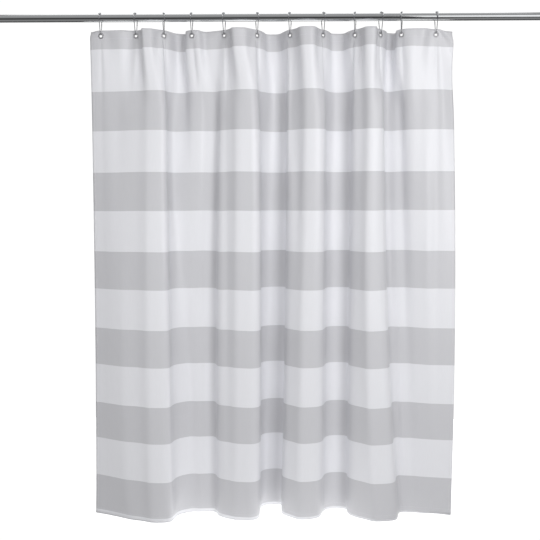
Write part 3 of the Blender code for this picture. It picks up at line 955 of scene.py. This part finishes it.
def add_cloth():
    start = laid_out_cloth()
    cloth = Cloth(hung(start))
    main = cloth.layer("curtain_cloth", FABRIC, CLOTH_THICKNESS)
    behind = -(CLOTH_THICKNESS + FOLD_THICKNESS) / 2
    folds = [
        cloth.layer("header_fold", FABRIC, FOLD_THICKNESS, behind, drops=(0, HEADER_HEIGHT)),
        cloth.layer("bottom_fold", FABRIC, FOLD_THICKNESS, behind, drops=(HEM_TOP, CLOTH_HEIGHT)),
    ]
    sides = {"left": (0, SIDE_HEM_WIDTH), "right": (CLOTH_WIDTH - SIDE_HEM_WIDTH, CLOTH_WIDTH)}
    for side, span in sides.items():
        drops = (UNDER_HEADER, HEM_TOP - SIDE_HEM_GAP)
        folds.append(cloth.layer(f"{side}_fold", FABRIC, FOLD_THICKNESS, behind, span, drops))
    back = CLOTH_THICKNESS / 2 + FOLD_THICKNESS
    header_seam, bottom_seam = HEADER_HEIGHT - SEAM_INSET, HEM_TOP + SEAM_INSET
    left_seam = SIDE_HEM_WIDTH - SEAM_INSET
    seams = {
        "header_stitching": ((0, header_seam), (CLOTH_WIDTH, header_seam)),
        "bottom_stitching": ((0, bottom_seam), (CLOTH_WIDTH, bottom_seam)),
        "left_stitching": ((left_seam, UNDER_HEADER), (left_seam, bottom_seam)),
        "right_stitching": (
            (CLOTH_WIDTH - left_seam, UNDER_HEADER), (CLOTH_WIDTH - left_seam, bottom_seam)
        ),
    }  # fmt: skip
    stitches = [stitching(name, cloth, *ends, back, THREAD) for name, ends in seams.items()]
    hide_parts("curtain_panel")
    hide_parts("top_hem")
    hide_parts("bottom_hem")
    for piece in (main, *folds):
        hang_on_cloth(piece)
    for piece in stitches:
        hang_on_cloth(piece)


# ---- Rings ----------------------------------------------------------------------------------


def over_rod(degrees):
    """A point of the ring's rounded top, in the ring's own plane (Y back, Z up)."""
    angle = math.radians(degrees)
    return Vector((0, RING_REACH * math.cos(angle), RING_RISE * math.sin(angle)))


def on_bend(degrees):
    """A point of the bend that carries the eyelet, from straight down towards the back."""
    angle = math.radians(degrees)
    center = Vector((0, 0, -RING_DROP + RING_BEND_RADIUS))
    return center + RING_BEND_RADIUS * Vector((0, math.sin(angle), -math.cos(angle)))


def eased(points, spacing, rounds):
    """A dense line through points, with its corners rounded by averaging neighbours."""
    points = np.array([tuple(p) for p in points])
    along = np.concatenate([[0], np.cumsum(np.linalg.norm(np.diff(points, axis=0), axis=1))])
    places = np.linspace(0, along[-1], max(3, round(along[-1] / spacing)))
    line = np.stack([np.interp(places, along, points[:, k]) for k in range(3)], axis=1)
    for _ in range(rounds):
        line[1:-1] = (line[:-2] + 2 * line[1:-1] + line[2:]) / 4
    return line


def ring_meshes(pivot):
    """(loop, gate) of a ring in its own frame; pivot is the gate's foot."""
    top = over_rod(-RING_OPEN_DEG)
    up = (top - pivot).normalized()
    latch = pivot + up * ((-LATCH_DROP - pivot.z) / up.z)
    knob = LATCH_BALL / 2 + SLACK / 2
    end_ball, tip = latch + up * knob, latch - up * knob
    foot = math.degrees(math.atan2(pivot.y, -(pivot.z + RING_DROP - RING_BEND_RADIUS)))
    stop = foot - math.degrees((WIRE_RADIUS + SLACK) / RING_BEND_RADIUS)
    path = [
        end_ball,
        *(over_rod(d) for d in np.linspace(-RING_OPEN_DEG, 180 + RING_OPEN_DEG, 40)),
        *(on_bend(d) for d in np.linspace(-foot, stop, 18)),
    ]
    wire = tube("loop", eased(path, 0.0012, 6), WIRE_RADIUS)
    arm = tube("arm", eased([pivot, tip], 0.002, 0), WIRE_RADIUS)
    ball = ball_mesh(LATCH_BALL / 2)
    foot_ball = ball_mesh(GATE_FOOT_BALL)
    loop = joined("loop", [(wire, Matrix()), (ball, moved_to(end_ball))])
    gate = joined("gate", [(arm, Matrix()), (foot_ball, moved_to(pivot)), (ball, moved_to(tip))])
    return loop, gate


def ball_mesh(radius):
    mesh = bpy.data.meshes.new("ball")
    edit = bmesh.new()
    bmesh.ops.create_uvsphere(edit, u_segments=24, v_segments=16, radius=radius)
    edit.to_mesh(mesh)
    edit.free()
    return mesh


def beads_mesh():
    """The five beads, each a ball with flat ends, bored for the wire."""
    end = BEAD_FLAT * BEAD_RADIUS
    lean = math.degrees(math.acos(end / BEAD_RADIUS))
    outer = arc((0, 0), BEAD_RADIUS, 90 - lean, -(90 - lean), 16)
    bore = WIRE_RADIUS + SLACK / 2
    profile = [(bore, end), *outer, (bore, -end)]
    bead = turned("bead", profile, 32, closed=True)
    parts = []
    for i in range(BEADS_PER_RING):
        degrees = 90 + BEAD_SPACING_DEG * (i - (BEADS_PER_RING - 1) / 2)
        along = over_rod(degrees + 1) - over_rod(degrees - 1)
        turn = along.to_track_quat("Z", "X").to_matrix().to_4x4()
        parts.append((bead, moved_to(over_rod(degrees)) @ turn))
    return joined("beads", parts)


def ring_place(number):
    """(a ring's place on the rod and turn about Z, its gate's foot in its own frame)."""
    joint = JOINTS[f"gate_{number:02d}_open"]
    x, y, z = joint["pos_m"]
    yaw = math.atan2(-joint["axis"][1], -joint["axis"][0])
    on_rod = moved_to((x + math.tan(yaw) * y, 0, 0)) @ Matrix.Rotation(yaw, 4, "Z")
    return on_rod, Vector((0, y / math.cos(yaw), z))


def add_rings(wire_metal, bead_metal):
    beads = beads_mesh()
    _, gate_foot = ring_place(1)
    loop, gate = ring_meshes(gate_foot)
    for number in RINGS:
        on_rod, _ = ring_place(number)
        body = f"ring_{number:02d}"
        pieces = (
            (f"{body}_wire", loop, wire_metal, body, f"{body}_loop"),
            (f"{body}_beads", beads, bead_metal, body, f"{body}_loop"),
            (f"{body}_latch", gate, wire_metal, f"gate_{number:02d}", f"{body}_gate"),
        )
        for name, mesh, material, rides, node in pieces:
            obj = shown(name, mesh, material, 40, on_rod)
            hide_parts(node)
            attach(obj, rides)


# ---- Rod, wall plates and screws ------------------------------------------------------------


def rod_piece(name, mesh, material, node, matrix):
    obj = shown(name, mesh, material, 35, matrix)
    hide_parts(node)
    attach(obj, "rod")


def add_rod(material):
    half = (ROD_HIGH.x - ROD_LOW.x) / 2
    eased_radius, eased_half = ROD_RADIUS - ROD_EASE, half - ROD_EASE
    inner = ROD_RADIUS - ROD_WALL
    profile = [
        (eased_radius, half), (ROD_RADIUS, eased_half), (ROD_RADIUS, -eased_half),
        (eased_radius, -half), (inner, -half), (inner, half),
    ]  # fmt: skip
    along_x = moved_to((MIDDLE_X, 0, 0)) @ Matrix.Rotation(math.pi / 2, 4, "Y")
    rod_piece("rod_tube", turned("rod_tube", profile, 96, closed=True), material, "rod",
              along_x)  # fmt: skip


def plate_mesh():
    """The wall plate with its socket, its edges rounded and a fillet under the collar."""
    low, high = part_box("left_wall_plate")
    rim, height = (high.y - low.y) / 2, high.x - low.x
    socket = ROD_RADIUS + SLACK
    collar = socket + COLLAR_WALL
    foot = (collar + COLLAR_FILLET, PLATE_THICKNESS + COLLAR_FILLET)
    profile = [
        (0, SOCKET_FLOOR), (socket, SOCKET_FLOOR),
        *arc((socket + SOCKET_EASE, height - SOCKET_EASE), SOCKET_EASE, 180, 90, 5),
        *arc((collar - COLLAR_EASE, height - COLLAR_EASE), COLLAR_EASE, 90, 0, 6),
        *arc(foot, COLLAR_FILLET, 180, 270, 8),
        *arc((rim - PLATE_EASE, PLATE_THICKNESS - PLATE_EASE), PLATE_EASE, 90, 0, 6),
        (rim, 0), (0, 0),
    ]  # fmt: skip
    return turned("wall_plate", profile, 96)


def screw_mesh():
    """A pan-head screw with a cross recess; its origin is on the plate's front face."""
    low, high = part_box("left_plate_screw_1")
    head, shank = (high.y - low.y) / 2, SCREW_SHANK / 2
    tall = high.x - PLATE_THICKNESS
    tip = low.x - PLATE_THICKNESS
    side = SLACK + SCREW_HEAD_SIDE * tall
    dome = (1 - SCREW_HEAD_SIDE) * (tall - SLACK)
    crown = [
        (head * math.sin(a), side + dome * math.cos(a)) for a in np.linspace(0, math.pi / 2, 10)
    ]
    profile = [*crown, (head, SLACK), (shank, SLACK), (shank, tip + 2 * shank), (0, tip)]
    screw = bpy.data.objects.new("screw", turned("screw", profile, 40))
    bpy.context.scene.collection.objects.link(screw)
    cross = bmesh.new()
    for turn in (0, math.pi / 2):
        arm = Matrix.Diagonal((RECESS_WIDTH, head * 1.1, 2 * RECESS_DEPTH, 1))
        matrix = moved_to((0, 0, tall)) @ Matrix.Rotation(turn, 4, "Z") @ arm
        bmesh.ops.create_cube(cross, size=1, matrix=matrix)
    cutter_mesh = bpy.data.meshes.new("cross")
    cross.to_mesh(cutter_mesh)
    cross.free()
    cutter = bpy.data.objects.new("cross", cutter_mesh)
    bpy.context.scene.collection.objects.link(cutter)
    cut = screw.modifiers.new("recess", "BOOLEAN")
    cut.object = cutter
    cut.use_self = True
    apply_modifiers(screw)
    mesh = screw.data
    bpy.data.objects.remove(cutter)
    bpy.data.objects.remove(screw)
    return mesh


def add_wall_plates(plate_metal, screw_metal):
    plate, screw = plate_mesh(), screw_mesh()
    for side, wall, turn in (("left", 0, 1), ("right", WALL_TO_WALL, -1)):
        out = Matrix.Rotation(turn * math.pi / 2, 4, "Y")
        rod_piece(f"{side}_flange", plate, plate_metal, f"{side}_wall_plate",
                  moved_to((wall, 0, 0)) @ out)  # fmt: skip
        for number in (1, 2, 3):
            node = f"{side}_plate_screw_{number}"
            low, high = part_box(node)
            middle = (low + high) / 2
            place = moved_to((wall + turn * PLATE_THICKNESS, middle.y, middle.z))
            rod_piece(f"{node}_driven", screw, screw_metal, node, place @ out)


# ---- Build ----------------------------------------------------------------------------------

add_camera()
add_lights()
set_world()
add_floor()
bpy.context.scene.view_settings.view_transform = "Standard"

FABRIC = fabric("curtain_fabric")
THREAD = thread("thread")
ROD_CHROME = metal("rod_chrome", (0.54, 0.55, 0.56), 0.04, 0.10, (30, 900, 900), 0.03)
WIRE_CHROME = metal("wire_chrome", (0.50, 0.50, 0.52), 0.10, 0.20, (400, 400, 400))
BEAD_CHROME = metal("bead_chrome", (0.84, 0.85, 0.87), 0.06, 0.14, (300, 300, 300))
EYELET_METAL = metal("eyelet_metal", (0.62, 0.62, 0.64), 0.26, 0.40, (500, 500, 500))
SCREW_STEEL = metal("screw_steel", (0.56, 0.56, 0.58), 0.28, 0.42, (600, 600, 600))

add_cloth()
add_eyelets(EYELET_METAL)
add_rings(WIRE_CHROME, BEAD_CHROME)
add_rod(ROD_CHROME)
add_wall_plates(ROD_CHROME, SCREW_STEEL)
